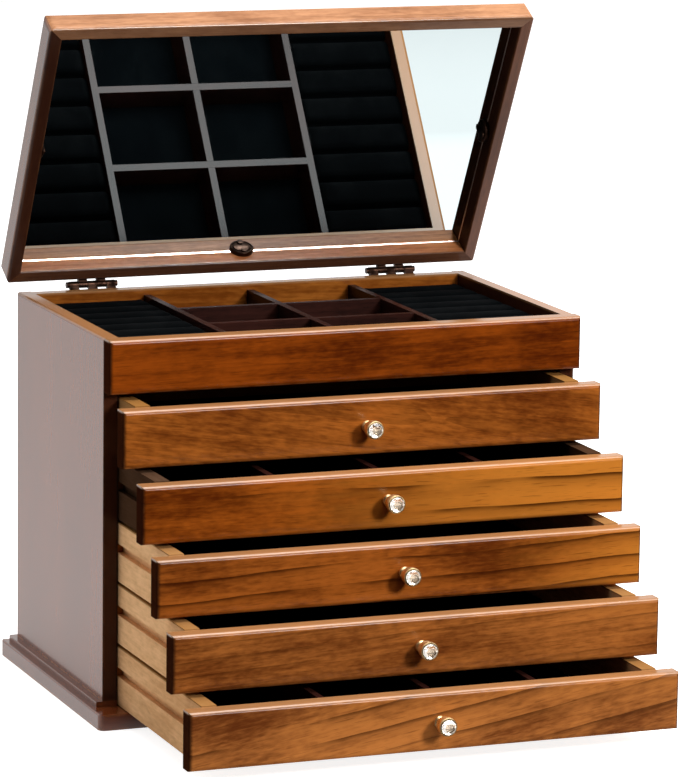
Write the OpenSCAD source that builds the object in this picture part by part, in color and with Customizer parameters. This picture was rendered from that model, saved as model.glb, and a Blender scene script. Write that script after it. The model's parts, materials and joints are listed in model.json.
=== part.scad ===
// Wooden jewelry case: a lidded tray over five drawers, with a mirror in the lid.
// Millimetres, +Z up, +Y to the back. The origin is the middle of the base's underside.
// The pieces stand as photographed: lid held open and the drawers pulled out in steps.

/* [Case] */
// Width over the side panels, and of the tray's front board
case_w = 300; // [260:1:360]
// Depth from the face of the fronts to the back
case_d = 183; // [170:1:230]
// Thickness of a side panel
side_t = 9; // [7:0.5:12]
// Thickness of the back panel
back_t = 10; // [8:0.5:14]
// Radius on the outer top and rear edges of the panels
panel_round = 2; // [0.5:0.1:3]

/* [Base] */
// Thickness of the base board outside its raised bed
base_t = 9.6; // [7:0.1:16]
// How far the base board reaches past the case on every side
base_overhang = 8; // [5:0.5:16]
// Radius along the top edge of the base board
base_round = 1.2; // [0.5:0.1:4]
// Radius of the base board's corners, seen from above
base_corner = 4; // [2:0.5:10]
// Height of the raised bed that the panels stand on
bed_h = 3.2; // [0.8:0.1:4]
// How far the bed shows outside the panels
bed_overhang = 4; // [1:0.5:5]

/* [Tray] */
// Height of the tray's front board
tray_front_h = 32.2; // [28:0.1:50]
// Thickness of the tray's front board
tray_front_t = 11; // [8:0.1:14]
// Radius along the edges of every front
front_round = 2.6; // [0.5:0.1:4]
// Thickness of the tray floor
tray_floor_t = 4; // [3:0.5:6]
// Height of the tray floor above the front board's lower edge
tray_floor_lift = 0.6; // [0:0.1:4]
// Depth of the grooves that hold the tray floor
tray_floor_housing = 3; // [1:0.5:4]
// Thickness of the velvet-covered card on the floors
lining_t = 1.2; // [0.8:0.1:2]
// Thickness of the tray dividers
divider_t = 4.5; // [3:0.1:7]
// Distance from the top of the case down to the dividers
divider_drop = 4; // [2:0.5:10]
// Distance from one long divider of the tray to the next
column_w = 68.2; // [60:0.1:75]
// Rows of compartments in each middle column
tray_rows = 3; // [2:1:4]
// Distance from the top of the case down to the ring rolls
ring_drop = 5.5; // [4.5:0.5:12]
// Number of ring rolls from front to back
ring_count = 8; // [6:1:10]
// How far neighbouring ring rolls press into each other
ring_squeeze = 1.2; // [0.6:0.1:2]
// Radius at the ends of the ring rolls
ring_end_round = 5; // [2:0.5:7]

/* [Drawers] */
// Height of a drawer front
drawer_front_h = 34.2; // [30:0.1:50]
// How far a drawer front reaches past the side panels
drawer_front_over = 1.2; // [0:0.1:3]
// Gap between a closed drawer front and the side panels behind it
drawer_rest_gap = 0.4; // [0.3:0.1:1]
// Gap between one drawer front and the next
drawer_gap = 3.2; // [2.5:0.1:6]
// Gap between the top drawer front and the tray front
tray_gap = 4.2; // [3:0.1:8]
// Gap between the bottom drawer front and the base
bottom_gap = 1.2; // [1.1:0.1:4]
// Gap between a closed drawer and the back panel
drawer_back_gap = 3.4; // [1:0.1:10]
// Thickness of a drawer's sides
drawer_side_t = 9; // [8:0.5:12]
// How far a drawer's sides stand above and below its front
drawer_side_rise = 0.7; // [0:0.1:1]
// Clearance between a drawer's sides and the case
drawer_side_clear = 0.6; // [0.4:0.1:1.5]
// Thickness of a drawer's back
drawer_back_t = 8; // [6:0.5:12]
// Thickness of a drawer's bottom
drawer_bottom_t = 3; // [2:0.5:4]
// Height of a drawer's bottom above the lower edge of its sides
drawer_bottom_lift = 3; // [2:0.5:5]
// Depth of the grooves that hold a drawer's bottom
drawer_bottom_housing = 3; // [1:0.5:3.5]
// Thickness of the dividers in a drawer
drawer_divider_t = 4; // [3:0.5:6]
// Distance from the top of a drawer front down to its dividers
drawer_divider_drop = 2; // [1:0.5:8]
// How far drawer 1 is pulled out
pull_1 = 28.7; // [0:0.1:150]
// How far drawer 2 is pulled out
pull_2 = 63.7; // [0:0.1:150]
// How far drawer 3 is pulled out
pull_3 = 90.2; // [0:0.1:150]
// How far drawer 4 is pulled out
pull_4 = 117.7; // [0:0.1:150]
// How far drawer 5 is pulled out
pull_5 = 147.2; // [0:0.1:150]

/* [Runners] */
// Height of the strip that a drawer hangs on
runner_h = 5; // [4:0.5:7]
// How far the strip stands out of the side panel
runner_out = 4; // [3:0.5:4.5]
// How deep the strip is let into the side panel
runner_in = 2; // [1:0.5:3]
// Distance from the top of a drawer front down to the middle of its runner
runner_drop = 15; // [12:0.5:18]
// Clearance between a runner and its groove
runner_clear = 0.3; // [0.3:0.1:0.6]
// Distance of a runner's end behind the edge of the side panel
runner_setback = 2; // [0:0.5:10]

/* [Knobs] */
// Radius of the knob's foot on the drawer front
knob_foot_r = 3.6; // [3:0.1:5]
// Radius of the knob's waist
knob_waist_r = 2.4; // [2.2:0.1:3]
// Radius of the cup that holds the crystal
knob_cup_r = 5.4; // [4.5:0.1:7]
// Height of the knob from the drawer front to the rim of its cup
knob_h = 13.5; // [11.5:0.5:18]
// Radius of the crystal
crystal_r = 4.7; // [3.5:0.1:5]
// Depth of the crystal's seat in the cup
crystal_seat = 1.6; // [1:0.1:2.5]
// How far the crystal stands out of the cup
crystal_h = 3; // [2:0.1:5]
// Number of flat sides on the crystal
crystal_sides = 10; // [8:1:12]
// Radius of the screw that holds the knob
knob_screw_r = 1.5; // [1.2:0.1:1.8]

/* [Lid] */
// How far the lid reaches past the case at the front and sides
lid_overhang = 6.5; // [3:0.5:12]
// Thickness of the lid
lid_t = 17; // [15:0.5:24]
// Width of the lid's rails
lid_rail_w = 8.5; // [8.5:0.5:20]
// Radius along the lid's top outer edges
lid_top_round = 3.5; // [1:0.1:5]
// Radius along the lid's lower outer edges
lid_rim_round = 2; // [0.5:0.1:2.5]
// Radius along the lower edges around the mirror
lid_inner_round = 1.5; // [0.3:0.1:2]
// Radius of the lid's corners, seen from above
lid_corner = 4; // [3.5:0.5:10]
// Gap under the closed lid
lid_gap = 0.4; // [0.4:0.1:1]
// Depth of the mirror behind the lid's rim
mirror_recess = 10.8; // [9:0.1:11.4]
// Thickness of the mirror
mirror_t = 2.4; // [2:0.1:3]
// Width of the step in the rails that the top panel lies on
panel_step = 4; // [2:0.5:6]
// Angle that the lid stands open
lid_open = 61.7; // [0:0.1:100]

/* [Mirror clips] */
// Radius of a mirror clip
clip_r = 8; // [6:0.1:8.4]
// Distance of a clip's centre behind the face of the mirror
clip_sink = 2.6; // [1:0.1:3]
// Thickness of a mirror clip
clip_t = 3; // [2:0.1:4]
// Radius along a clip's edge
clip_round = 1.2; // [0.5:0.1:1.9]
// Distance from the mirror to a clip's screw
clip_screw_up = 2.6; // [2.2:0.1:3]

/* [Hinges] */
// Distance from the middle of the case to a hinge
hinge_x = 100; // [60:1:115]
// Width of a hinge
hinge_w = 30; // [24:1:40]
// Distance of the hinge pin behind the back of the case
hinge_out = 4.4; // [4:0.1:5]
// Height of the hinge pin above the top of the case
hinge_rise = 2; // [1.5:0.1:2.4]
// Radius of the hinge barrel
barrel_r = 2.2; // [1.8:0.1:2.5]
// Radius of the hinge pin
pin_r = 1.1; // [0.8:0.1:1.3]
// Radius of the pin's heads
pin_head_r = 1.9; // [1.6:0.1:2.2]
// Thickness of a hinge leaf
leaf_t = 1.2; // [0.8:0.1:1.4]
// Height of the leaf on the case
case_leaf_h = 10; // [8:0.5:16]
// Height of the leaf on the lid
lid_leaf_h = 6.5; // [5:0.1:6.6]
// Radius of the hinge screws
screw_r = 1; // [0.8:0.1:1.2]
// Length of the hinge screws under the leaf
screw_len = 7; // [5:0.5:7.5]

/* [Hidden] */
$fn = 48;

PULLS = [pull_1, pull_2, pull_3, pull_4, pull_5];
drawer_count = len(PULLS);
DIVIDED_DRAWERS = [2, 5];
DRAWER_PIECES = ["front", "sides", "back", "bottom", "lining", "knob", "crystal"];

// Clearance around pieces that are let into each other
snug = 0.1;
// Radial clearance of a turning pin and of a screw in its hole
running = 0.05;
// Extra length that lets a cut pass through a face
past = 1;

// Compartments across the tray and across a divided drawer
columns = 4;

front_y = -case_d / 2;
back_y = case_d / 2;
panel_front_y = front_y + tray_front_t;
back_in_y = back_y - back_t;
inner_x = case_w / 2 - side_t;
bed_z = base_t + bed_h;
stack_z = base_t + bottom_gap;
drawer_front_w = case_w + 2 * drawer_front_over;
drawer_pitch = drawer_front_h + drawer_gap;
tray_z = stack_z + drawer_count * drawer_pitch - drawer_gap + tray_gap;
case_top = tray_z + tray_front_h;

tray_floor_z = tray_z + tray_floor_lift;
lining_z = tray_floor_z + tray_floor_t;
divider_z = lining_z + lining_t;
divider_h = case_top - divider_drop - divider_z;
row_d = (back_in_y - panel_front_y + divider_t) / tray_rows;

ring_gap = 0.4;
ring_len = back_in_y - panel_front_y - 2 * ring_gap;
ring_w = inner_x - column_w - divider_t / 2 - 2 * ring_gap;
ring_h = case_top - ring_drop - divider_z;
ring_pitch = ring_len / ring_count;
ring_r = (ring_pitch + ring_squeeze) / 2;

drawer_front_t = tray_front_t - drawer_rest_gap;
box_y = front_y + drawer_front_t;
box_end_y = back_in_y - drawer_back_gap;
side_out_x = inner_x - drawer_side_clear;
side_in_x = side_out_x - drawer_side_t;
side_z = -drawer_side_rise;
side_h = drawer_front_h + 2 * drawer_side_rise;
bottom_z = side_z + drawer_bottom_lift;
floor_z = bottom_z + drawer_bottom_t;
groove_h = runner_h + 2 * runner_clear;
groove_depth = runner_out - drawer_side_clear + runner_clear;
runner_mid = drawer_front_h - runner_drop;
drawer_column_w = 2 * side_in_x / columns;

knob_z = drawer_front_h / 2;
knob_foot_h = 1.4;
knob_waist_z = knob_h * 0.25;
knob_bell_r = knob_cup_r * 0.88;
knob_bell_z = knob_h * 0.55;
knob_lip_h = 2.2;
knob_screw_head_r = 2 * knob_screw_r;
knob_screw_head_h = 1.8;
knob_screw_in = 6;
knob_bore_spare = 0.5;

rim_z = case_top + lid_gap;
lid_x = case_w / 2 + lid_overhang;
lid_front_y = front_y - lid_overhang;
lid_d = back_y - lid_front_y;
lid_panel_t = lid_t - mirror_recess - mirror_t;
mirror_z = rim_z + mirror_recess;
opening_x = lid_x - lid_rail_w;
opening_front_y = lid_front_y + lid_rail_w;
opening_back_y = back_y - lid_rail_w;
lid_mid_y = (lid_front_y + back_y) / 2;

hinge_y = back_y + hinge_out;
hinge_z = case_top + hinge_rise;
knuckles = 5;
knuckle_w = hinge_w / knuckles;
knuckle_gap = 0.3;
// Space between the barrel and the edge of either leaf, and so from the pin to that edge
leaf_clear = 0.8;
leaf_start = barrel_r + leaf_clear;
pin_head_h = 1.4;
pin_head_gap = 0.1;
screw_head_r = 2 * screw_r;
screw_head_h = 0.9;
screw_spread = hinge_w / 3;

walnut = "#6b3513";
front_wood = "#8a4c1e";
pale_wood = "#c69a6c";
bare_wood = "#a9702f";
velvet = "#15161a";
brass = "#c7a04a";
bronze = "#4b3a28";

// Height of the underside of a drawer's front, counted from the top drawer
function drawer_z(i) = stack_z + (drawer_count - i) * drawer_pitch;

// Places of the dividers between equal columns
function column_places(width) = [for (i = [1 : columns - 1]) (i - columns / 2) * width];

// Places of the tray's cross dividers, from front to back
function row_places() = [for (i = [1 : tray_rows - 1]) panel_front_y + i * row_d - divider_t / 2];

// A rectangle with its own radius at each corner, counter-clockwise from the lower left
module soft_rect(size, radii) {
    corners = [[0, 0], [size.x, 0], size, [0, size.y]];
    difference() {
        square(size);
        for (i = [0 : 3])
            if (radii[i] > 0)
                translate(corners[i]) rotate(90 * i) corner_cut(radii[i]);
    }
}

// What a radius takes off a square corner
module corner_cut(r) {
    difference() {
        translate([-past, -past]) square(r + past);
        translate([r, r]) circle(r);
    }
}

// A box from one corner to the other
module block(low, high) {
    translate(low) cube(high - low);
}

// An outline in depth and height, run along X
module along_x(from, to) {
    translate([from, 0, 0]) rotate([90, 0, 90]) linear_extrude(to - from) children();
}

// An outline in width and height, run along Y
module along_y(from, to) {
    translate([0, to, 0]) rotate([90, 0, 0]) linear_extrude(to - from) children();
}

// A board on edge with its front face's edges rounded
module front_board(w, h, t) {
    r = front_round;
    intersection() {
        along_x(-w / 2, w / 2)
            translate([front_y, 0]) soft_rect([t, h], [r, 0, 0, r]);
        linear_extrude(h)
            translate([-w / 2, front_y]) soft_rect([w, t], [r, r, 0, 0]);
    }
}

// A pair on both sides of the middle
module both_sides() {
    children();
    mirror([1, 0, 0]) children();
}

module base_board() {
    x = case_w / 2 + base_overhang;
    y = case_d / 2 + base_overhang;
    bed_x = case_w / 2 + bed_overhang;
    bed_d = back_y + bed_overhang - panel_front_y;
    r = base_round;
    c = base_corner;
    color(walnut) difference() {
        union() {
            intersection() {
                along_x(-x, x) translate([-y, 0]) soft_rect([2 * y, base_t], [0, 0, r, r]);
                along_y(-y, y) translate([-x, 0]) soft_rect([2 * x, base_t], [0, 0, r, r]);
                linear_extrude(base_t) translate([-x, -y]) soft_rect([2 * x, 2 * y], [c, c, c, c]);
            }
            translate([-bed_x, panel_front_y, base_t - past])
                linear_extrude(bed_h + past)
                    soft_rect([2 * bed_x, bed_d], [0, 0, base_corner / 2, base_corner / 2]);
        }
        block([-inner_x, panel_front_y - past, base_t], [inner_x, back_in_y, bed_z + past]);
    }
}

// The left side panel, with its grooves for the runners and the tray floor
module side_panel() {
    r = panel_round;
    x = -case_w / 2;
    difference() {
        intersection() {
            along_y(panel_front_y, back_y)
                translate([x, bed_z]) soft_rect([side_t, case_top - bed_z], [0, 0, 0, r]);
            translate([x, panel_front_y, bed_z])
                linear_extrude(case_top - bed_z)
                    soft_rect([side_t, back_y - panel_front_y], [0, 0, 0, r]);
        }
        for (i = [1 : drawer_count]) runner(i);
        block([-inner_x - tray_floor_housing, panel_front_y - past, tray_floor_z],
              [-inner_x + past, back_in_y, lining_z]);
    }
}

module side_panel_left() {
    color(walnut) side_panel();
}

module side_panel_right() {
    color(walnut) mirror([1, 0, 0]) side_panel();
}

module back_panel() {
    color(bare_wood) difference() {
        along_x(-inner_x, inner_x)
            translate([back_in_y, bed_z])
                soft_rect([back_t, case_top - bed_z], [0, 0, panel_round, 0]);
        case_leaf_screw_places() screw_hole(leaf_t);
    }
}

module tray_front() {
    color(walnut) translate([0, 0, tray_z]) front_board(case_w, tray_front_h, tray_front_t);
}

module tray_floor() {
    x = inner_x + tray_floor_housing;
    color(pale_wood) block([-x, panel_front_y, tray_floor_z], [x, back_in_y, lining_z]);
}

module tray_lining() {
    color(velvet) block([-inner_x, panel_front_y, lining_z], [inner_x, back_in_y, divider_z]);
}

module tray_long_dividers() {
    slot = divider_t / 2 + snug;
    color(walnut) difference() {
        for (x = column_places(column_w))
            block([x - divider_t / 2, panel_front_y, divider_z],
                  [x + divider_t / 2, back_in_y, divider_z + divider_h]);
        for (y = row_places())
            block([-divider_t, y - slot, divider_z + divider_h / 2],
                  [divider_t, y + slot, divider_z + divider_h + past]);
    }
}

module tray_cross_dividers() {
    x = column_w - divider_t / 2;
    slot = divider_t / 2 + snug;
    color(walnut) for (y = row_places())
        difference() {
            block([-x, y - divider_t / 2, divider_z], [x, y + divider_t / 2, divider_z + divider_h]);
            block([-slot, y - divider_t, divider_z - past],
                  [slot, y + divider_t, divider_z + divider_h / 2]);
        }
}

// Rows of padded rolls in the outer columns of the tray, crowned and rounded at their ends
module ring_rolls() {
    color(velvet) both_sides()
        translate([-inner_x + ring_gap, panel_front_y + ring_gap, divider_z])
            intersection() {
                along_x(0, ring_w) ring_outline();
                along_y(0, ring_len)
                    soft_rect([ring_w, ring_h], [0, 0, ring_end_round, ring_end_round]);
            }
}

// Front-to-back outline of the rolls: a row of circles on a common base
module ring_outline() {
    intersection() {
        square([ring_len, ring_h]);
        union() {
            square([ring_len, ring_h - ring_r]);
            for (i = [0 : ring_count - 1])
                translate([(i + 0.5) * ring_pitch, ring_h - ring_r]) circle(ring_r);
        }
    }
}

// The strip on the left side panel that a drawer hangs on
module runner(i) {
    z = drawer_z(i) + runner_mid - runner_h / 2;
    block([-inner_x - runner_in, panel_front_y + runner_setback, z],
          [-inner_x + runner_out, back_in_y, z + runner_h]);
}

module drawer_runners() {
    color(pale_wood) both_sides() for (i = [1 : drawer_count]) runner(i);
}

// Places a drawer's pieces at its height and pulls it out
module pulled(i) {
    translate([0, -PULLS[i - 1], drawer_z(i)]) children();
}

module drawer_front(i) {
    color(front_wood) pulled(i) difference() {
        front_board(drawer_front_w, drawer_front_h, drawer_front_t);
        block([-side_in_x - drawer_bottom_housing, box_y - drawer_bottom_housing, bottom_z],
              [side_in_x + drawer_bottom_housing, box_y + past, floor_z]);
        translate([0, box_y, knob_z]) rotate([90, 0, 0]) {
            cylinder(r = knob_screw_r + running, h = drawer_front_t + past);
            translate([0, 0, -past])
                cylinder(r = knob_screw_head_r + running, h = knob_screw_head_h + past);
        }
    }
}

module drawer_sides(i) {
    color(pale_wood) pulled(i) both_sides() difference() {
        block([-side_out_x, box_y, side_z], [-side_in_x, box_end_y, side_z + side_h]);
        block([-side_out_x - past, box_y - past, runner_mid - groove_h / 2],
              [-side_out_x + groove_depth, box_end_y + past, runner_mid + groove_h / 2]);
        block([-side_in_x - drawer_bottom_housing, box_y - past, bottom_z],
              [-side_in_x + past, box_end_y + past, floor_z]);
    }
}

module drawer_back(i) {
    color(pale_wood) pulled(i)
        block([-side_in_x, box_end_y - drawer_back_t, floor_z], [side_in_x, box_end_y, side_z + side_h]);
}

module drawer_bottom(i) {
    x = side_in_x + drawer_bottom_housing;
    color(pale_wood) pulled(i)
        block([-x, box_y - drawer_bottom_housing, bottom_z], [x, box_end_y, floor_z]);
}

module drawer_lining(i) {
    color(velvet) pulled(i)
        block([-side_in_x, box_y, floor_z], [side_in_x, box_end_y - drawer_back_t, floor_z + lining_t]);
}

module drawer_dividers(i) {
    color(pale_wood) pulled(i) for (x = column_places(drawer_column_w))
        block([x - drawer_divider_t / 2, box_y, floor_z + lining_t],
              [x + drawer_divider_t / 2, box_end_y - drawer_back_t,
               drawer_front_h - drawer_divider_drop]);
}

// Stands a turned piece on the middle of a drawer front, its axis towards the user
module on_front(i) {
    pulled(i) translate([0, front_y, knob_z]) rotate([90, 0, 0]) children();
}

module drawer_knob(i) {
    color(brass) on_front(i) {
        difference() {
            rotate_extrude() polygon([
                [0, 0], [knob_foot_r, 0], [knob_foot_r, knob_foot_h], [knob_waist_r, knob_waist_z],
                [knob_bell_r, knob_bell_z], [knob_cup_r, knob_h - knob_lip_h], [knob_cup_r, knob_h],
                [0, knob_h]]);
            translate([0, 0, knob_h - crystal_seat])
                cylinder(r = crystal_r + snug, h = crystal_seat + past);
            translate([0, 0, -past])
                cylinder(r = knob_screw_r + running, h = knob_screw_in + knob_bore_spare + past);
        }
        knob_screw();
    }
}

// The screw that holds a knob, its head sunk into the inside of the drawer front
module knob_screw() {
    translate([0, 0, -drawer_front_t]) {
        cylinder(r = knob_screw_r, h = drawer_front_t + knob_screw_in);
        cylinder(r = knob_screw_head_r, h = knob_screw_head_h);
    }
}

module drawer_crystal(i) {
    color([0.92, 0.95, 0.98, 0.6]) on_front(i) translate([0, 0, knob_h - crystal_seat]) {
        cylinder(r = crystal_r, h = crystal_seat + crystal_h / 3, $fn = crystal_sides);
        translate([0, 0, crystal_seat + crystal_h / 3])
            cylinder(r1 = crystal_r, r2 = crystal_r / 2, h = crystal_h * 2 / 3, $fn = crystal_sides);
    }
}

// Turns pieces of the closed lid about the hinge pins to the angle that it stands open
module opened() {
    translate([0, hinge_y, hinge_z])
        rotate([-lid_open, 0, 0])
            translate([0, -hinge_y, -hinge_z]) children();
}

// A rail's outline from the lid's outer edge inwards, with the step for the top panel
module rail_outline() {
    difference() {
        soft_rect([lid_rail_w, lid_t], [lid_rim_round, lid_inner_round, 0, lid_top_round]);
        translate([lid_rail_w - panel_step, mirror_recess + mirror_t]) square(lid_t);
    }
}

// A rail of the closed lid with mitred ends, its outer edge on the X axis
module lid_rail(length) {
    x = length / 2;
    intersection() {
        along_x(-x, x) translate([0, rim_z]) rail_outline();
        translate([0, 0, rim_z - past])
            linear_extrude(lid_t + 2 * past)
                polygon([[-x, 0], [x, 0], [x - lid_rail_w, lid_rail_w], [lid_rail_w - x, lid_rail_w]]);
    }
}

// A rail in its place on the open lid, with the lid's round corners and the screws' holes
module placed_rail(place, turn, length) {
    c = lid_corner;
    color(walnut) opened() difference() {
        intersection() {
            translate(place) rotate(turn) lid_rail(length);
            translate([-lid_x, lid_front_y, rim_z])
                linear_extrude(lid_t) soft_rect([2 * lid_x, lid_d], [c, c, c, c]);
        }
        clip_screw_places() screw_hole(clip_t);
        lid_leaf_screw_places() screw_hole(leaf_t);
    }
}

module lid_front_rail() {
    placed_rail([0, lid_front_y, 0], 0, 2 * lid_x);
}

module lid_back_rail() {
    placed_rail([0, back_y, 0], 180, 2 * lid_x);
}

module lid_left_stile() {
    placed_rail([-lid_x, lid_mid_y, 0], -90, lid_d);
}

module lid_right_stile() {
    placed_rail([lid_x, lid_mid_y, 0], 90, lid_d);
}

module lid_panel() {
    x = opening_x + panel_step - snug;
    color(walnut) opened()
        block([-x, opening_front_y - panel_step + snug, mirror_z + mirror_t],
              [x, opening_back_y + panel_step - snug, mirror_z + mirror_t + lid_panel_t]);
}

module lid_mirror() {
    x = opening_x - snug;
    color("#cdd5d8") opened()
        block([-x, opening_front_y + snug, mirror_z], [x, opening_back_y - snug, mirror_z + mirror_t]);
}

// The middles of the rails' inner edges at the mirror, each facing into the opening
module clip_places() {
    translate([0, opening_back_y, mirror_z]) children();
    translate([0, opening_front_y, mirror_z]) rotate(180) children();
    translate([-opening_x, lid_mid_y, mirror_z]) rotate(90) children();
    translate([opening_x, lid_mid_y, mirror_z]) rotate(-90) children();
}

// A round button against the rail, cut off flat where it lies on the mirror
module mirror_clip() {
    intersection() {
        translate([0, 0, clip_sink]) rotate([90, 0, 0]) rotate_extrude()
            intersection() {
                translate([-clip_r, 0])
                    soft_rect([2 * clip_r, clip_t], [0, 0, clip_round, clip_round]);
                square([clip_r + past, clip_t]);
            }
        block([-clip_r - past, -clip_t - past, -clip_r - past], [clip_r + past, past, 0]);
    }
}

// The clips' screws, seen from the face of each clip
module clip_screw_places() {
    clip_places() translate([0, -clip_t, -clip_screw_up]) rotate(180) children();
}

module mirror_clips() {
    color(bronze) opened() difference() {
        clip_places() mirror_clip();
        clip_screw_places() screw_hole(clip_t);
    }
}

// Both hinges' places on the pin's line
module hinge_places() {
    for (x = [-hinge_x, hinge_x]) translate([x, hinge_y, hinge_z]) children();
}

// A leaf below the pin with the knuckles of the given numbers
module hinge_leaf(leaf_h, numbers) {
    difference() {
        union() {
            block([-hinge_w / 2, -hinge_out, -leaf_start - leaf_h],
                  [hinge_w / 2, leaf_t - hinge_out, -leaf_start]);
            for (i = numbers) knuckle(i);
        }
        along_x(-hinge_w, hinge_w) circle(pin_r + running);
        leaf_screw_places(leaf_h) screw_hole(leaf_t);
    }
}

// One knuckle of the barrel and the bend that joins it to the leaf below it
module knuckle(i) {
    start = -hinge_w / 2 + i * knuckle_w + knuckle_gap / 2;
    along_x(start, start + knuckle_w - knuckle_gap) {
        circle(barrel_r);
        polygon([[-hinge_out, -leaf_start - leaf_t], [leaf_t - hinge_out, -leaf_start - leaf_t],
                 [0, -barrel_r], [-barrel_r, 0], [-hinge_out, -leaf_start]]);
    }
}

// The screws' places on a leaf below the pin, seen from the pin
module leaf_screw_places(leaf_h) {
    for (x = [-screw_spread, screw_spread])
        translate([x, leaf_t - hinge_out, -leaf_start - leaf_h / 2]) children();
}

module case_leaf_screw_places() {
    hinge_places() leaf_screw_places(case_leaf_h) children();
}

module lid_leaf_screw_places() {
    hinge_places() mirror([0, 0, 1]) leaf_screw_places(lid_leaf_h) children();
}

// A screw that goes forwards through a piece of the given thickness into the wood
module screw(grip) {
    rotate([90, 0, 0]) {
        cylinder(r = screw_r, h = grip + screw_len);
        translate([0, 0, -screw_head_h]) cylinder(r = screw_head_r, h = screw_head_h);
    }
}

// The hole for a screw, through the piece that it holds and in the wood behind it
module screw_hole(grip) {
    translate([0, past, 0]) rotate([90, 0, 0])
        cylinder(r = screw_r + running, h = past + grip + screw_len);
}

module hinge_case_leaves() {
    color(bronze) hinge_places() hinge_leaf(case_leaf_h, [0, 2, 4]);
}

module hinge_lid_leaves() {
    color(bronze) opened() hinge_places() mirror([0, 0, 1]) hinge_leaf(lid_leaf_h, [1, 3]);
}

module hinge_pins() {
    head_x = hinge_w / 2 + pin_head_gap;
    color(bronze) hinge_places() {
        along_x(-head_x - pin_head_h / 2, head_x + pin_head_h / 2) circle(pin_r);
        both_sides() along_x(head_x, head_x + pin_head_h) circle(pin_head_r);
    }
}

module hinge_case_screws() {
    color(bronze) case_leaf_screw_places() screw(leaf_t);
}

module lid_screws() {
    color(bronze) opened() {
        lid_leaf_screw_places() screw(leaf_t);
        clip_screw_places() screw(clip_t);
    }
}

// Draws one piece of a drawer
module drawer_piece(i, piece) {
    if (piece == "front") drawer_front(i);
    if (piece == "sides") drawer_sides(i);
    if (piece == "back") drawer_back(i);
    if (piece == "bottom") drawer_bottom(i);
    if (piece == "lining") drawer_lining(i);
    if (piece == "knob") drawer_knob(i);
    if (piece == "crystal") drawer_crystal(i);
}

base_board();
side_panel_left();
side_panel_right();
back_panel();
tray_front();
tray_floor();
tray_lining();
tray_long_dividers();
tray_cross_dividers();
ring_rolls();
drawer_runners();
hinge_case_leaves();
hinge_pins();
hinge_case_screws();
lid_front_rail();
lid_back_rail();
lid_left_stile();
lid_right_stile();
lid_panel();
lid_mirror();
mirror_clips();
hinge_lid_leaves();
lid_screws();
for (i = [1 : drawer_count]) for (piece = DRAWER_PIECES)
    drawer_piece(i, piece);
for (i = DIVIDED_DRAWERS)
    drawer_dividers(i);
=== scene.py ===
"""Dresses a wooden jewelry case: five drawers, a velvet tray and a mirrored lid, in a white studio."""

import json
import math

import bmesh
import bpy
from mathutils import Euler, Matrix, Vector, geometry


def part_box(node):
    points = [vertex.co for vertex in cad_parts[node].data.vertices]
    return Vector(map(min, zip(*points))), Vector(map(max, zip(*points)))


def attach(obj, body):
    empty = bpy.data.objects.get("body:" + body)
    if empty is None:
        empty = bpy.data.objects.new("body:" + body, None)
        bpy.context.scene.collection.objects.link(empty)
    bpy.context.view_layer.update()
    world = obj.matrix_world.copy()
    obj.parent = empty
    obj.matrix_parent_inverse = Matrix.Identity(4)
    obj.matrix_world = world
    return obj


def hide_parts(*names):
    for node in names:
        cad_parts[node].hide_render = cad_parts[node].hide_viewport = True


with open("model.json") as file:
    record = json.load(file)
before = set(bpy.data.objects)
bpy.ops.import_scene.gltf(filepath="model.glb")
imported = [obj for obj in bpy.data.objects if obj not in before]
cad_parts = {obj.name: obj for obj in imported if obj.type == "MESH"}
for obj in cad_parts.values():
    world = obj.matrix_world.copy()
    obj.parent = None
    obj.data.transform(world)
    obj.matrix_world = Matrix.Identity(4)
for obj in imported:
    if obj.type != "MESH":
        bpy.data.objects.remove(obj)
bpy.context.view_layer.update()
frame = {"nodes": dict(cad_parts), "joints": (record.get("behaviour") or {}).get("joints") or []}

bl_info = {
    "name": "Jewelry case",
    "version": (1, 0, 0),
    "blender": (4, 5, 0),
    "location": "3D View > Sidebar > Jewelry case",
    "description": "Dresses a wooden jewelry case with five drawers, a velvet tray and a mirrored lid",
    "category": "Object",
}

MM = 0.001
DRAWERS = (1, 2, 3, 4, 5)
DRAWERS_WITH_DIVIDERS = (2, 5)
# How long the padding swells
SWELL_FRAMES = 20
# The Wave texture has one ring in this length when its scale is 1
WAVE_LENGTH = math.tau / 20
# Turns that lay a pattern's long axis along a board's own axis
GRAIN_TURNS = {"X": (0.0, 0.0, 0.0), "Y": (0.0, 0.0, math.pi / 2), "Z": (0.0, -math.pi / 2, 0.0)}
# Colours laid on single faces: painted shade on the fronts' ends (end) and on the lid's rims, the panels'
# front edges and insides and the right stile's inner face (rim, lip), painted light on upper faces (top), and
# darker upper edges of the drawer sides (box_top); for each, how far it reaches past the arris, how strong
# it is, and how much lacquer lies on it
FACE_SHADING_AND_TONES = {
    "end": (2.4 * MM, 0.95, 0.0),
    "rim": (1.6 * MM, 0.85, 0.2),
    "lip": (0.8 * MM, 0.60, 0.5),
    "top": (1.8 * MM, 0.75, 0.8),
    "box_top": (1.2 * MM, 0.85, 0.0),
}
# Faces of the drawer fronts and of the tray's front: painted shade on the ends, painted light on the top
FRONT_FACES = {"X-": "end", "X+": "end", "Z+": "top"}


def joint(name):
    """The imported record's joint of that name."""
    for each in frame["joints"]:
        if each["name"] == name:
            return each
    raise ValueError(f"the frame has no joint named {name}")


LID_JOINT = joint("lid_hinge")
LID_TURN = math.radians(LID_JOINT["range_deg"][0])
HINGE = Vector(LID_JOINT["pos_m"])
# Takes a point of the closed lid to its place on the open one
OPENED = Matrix.Translation(HINGE) @ Matrix.Rotation(LID_TURN, 4, "X") @ Matrix.Translation(-HINGE)


def colour(label, about, default):
    """A colour that the user can change."""
    return bpy.props.FloatVectorProperty(
        name=label, description=about, subtype="COLOR", size=3, min=0.0, max=1.0, default=default
    )


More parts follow.
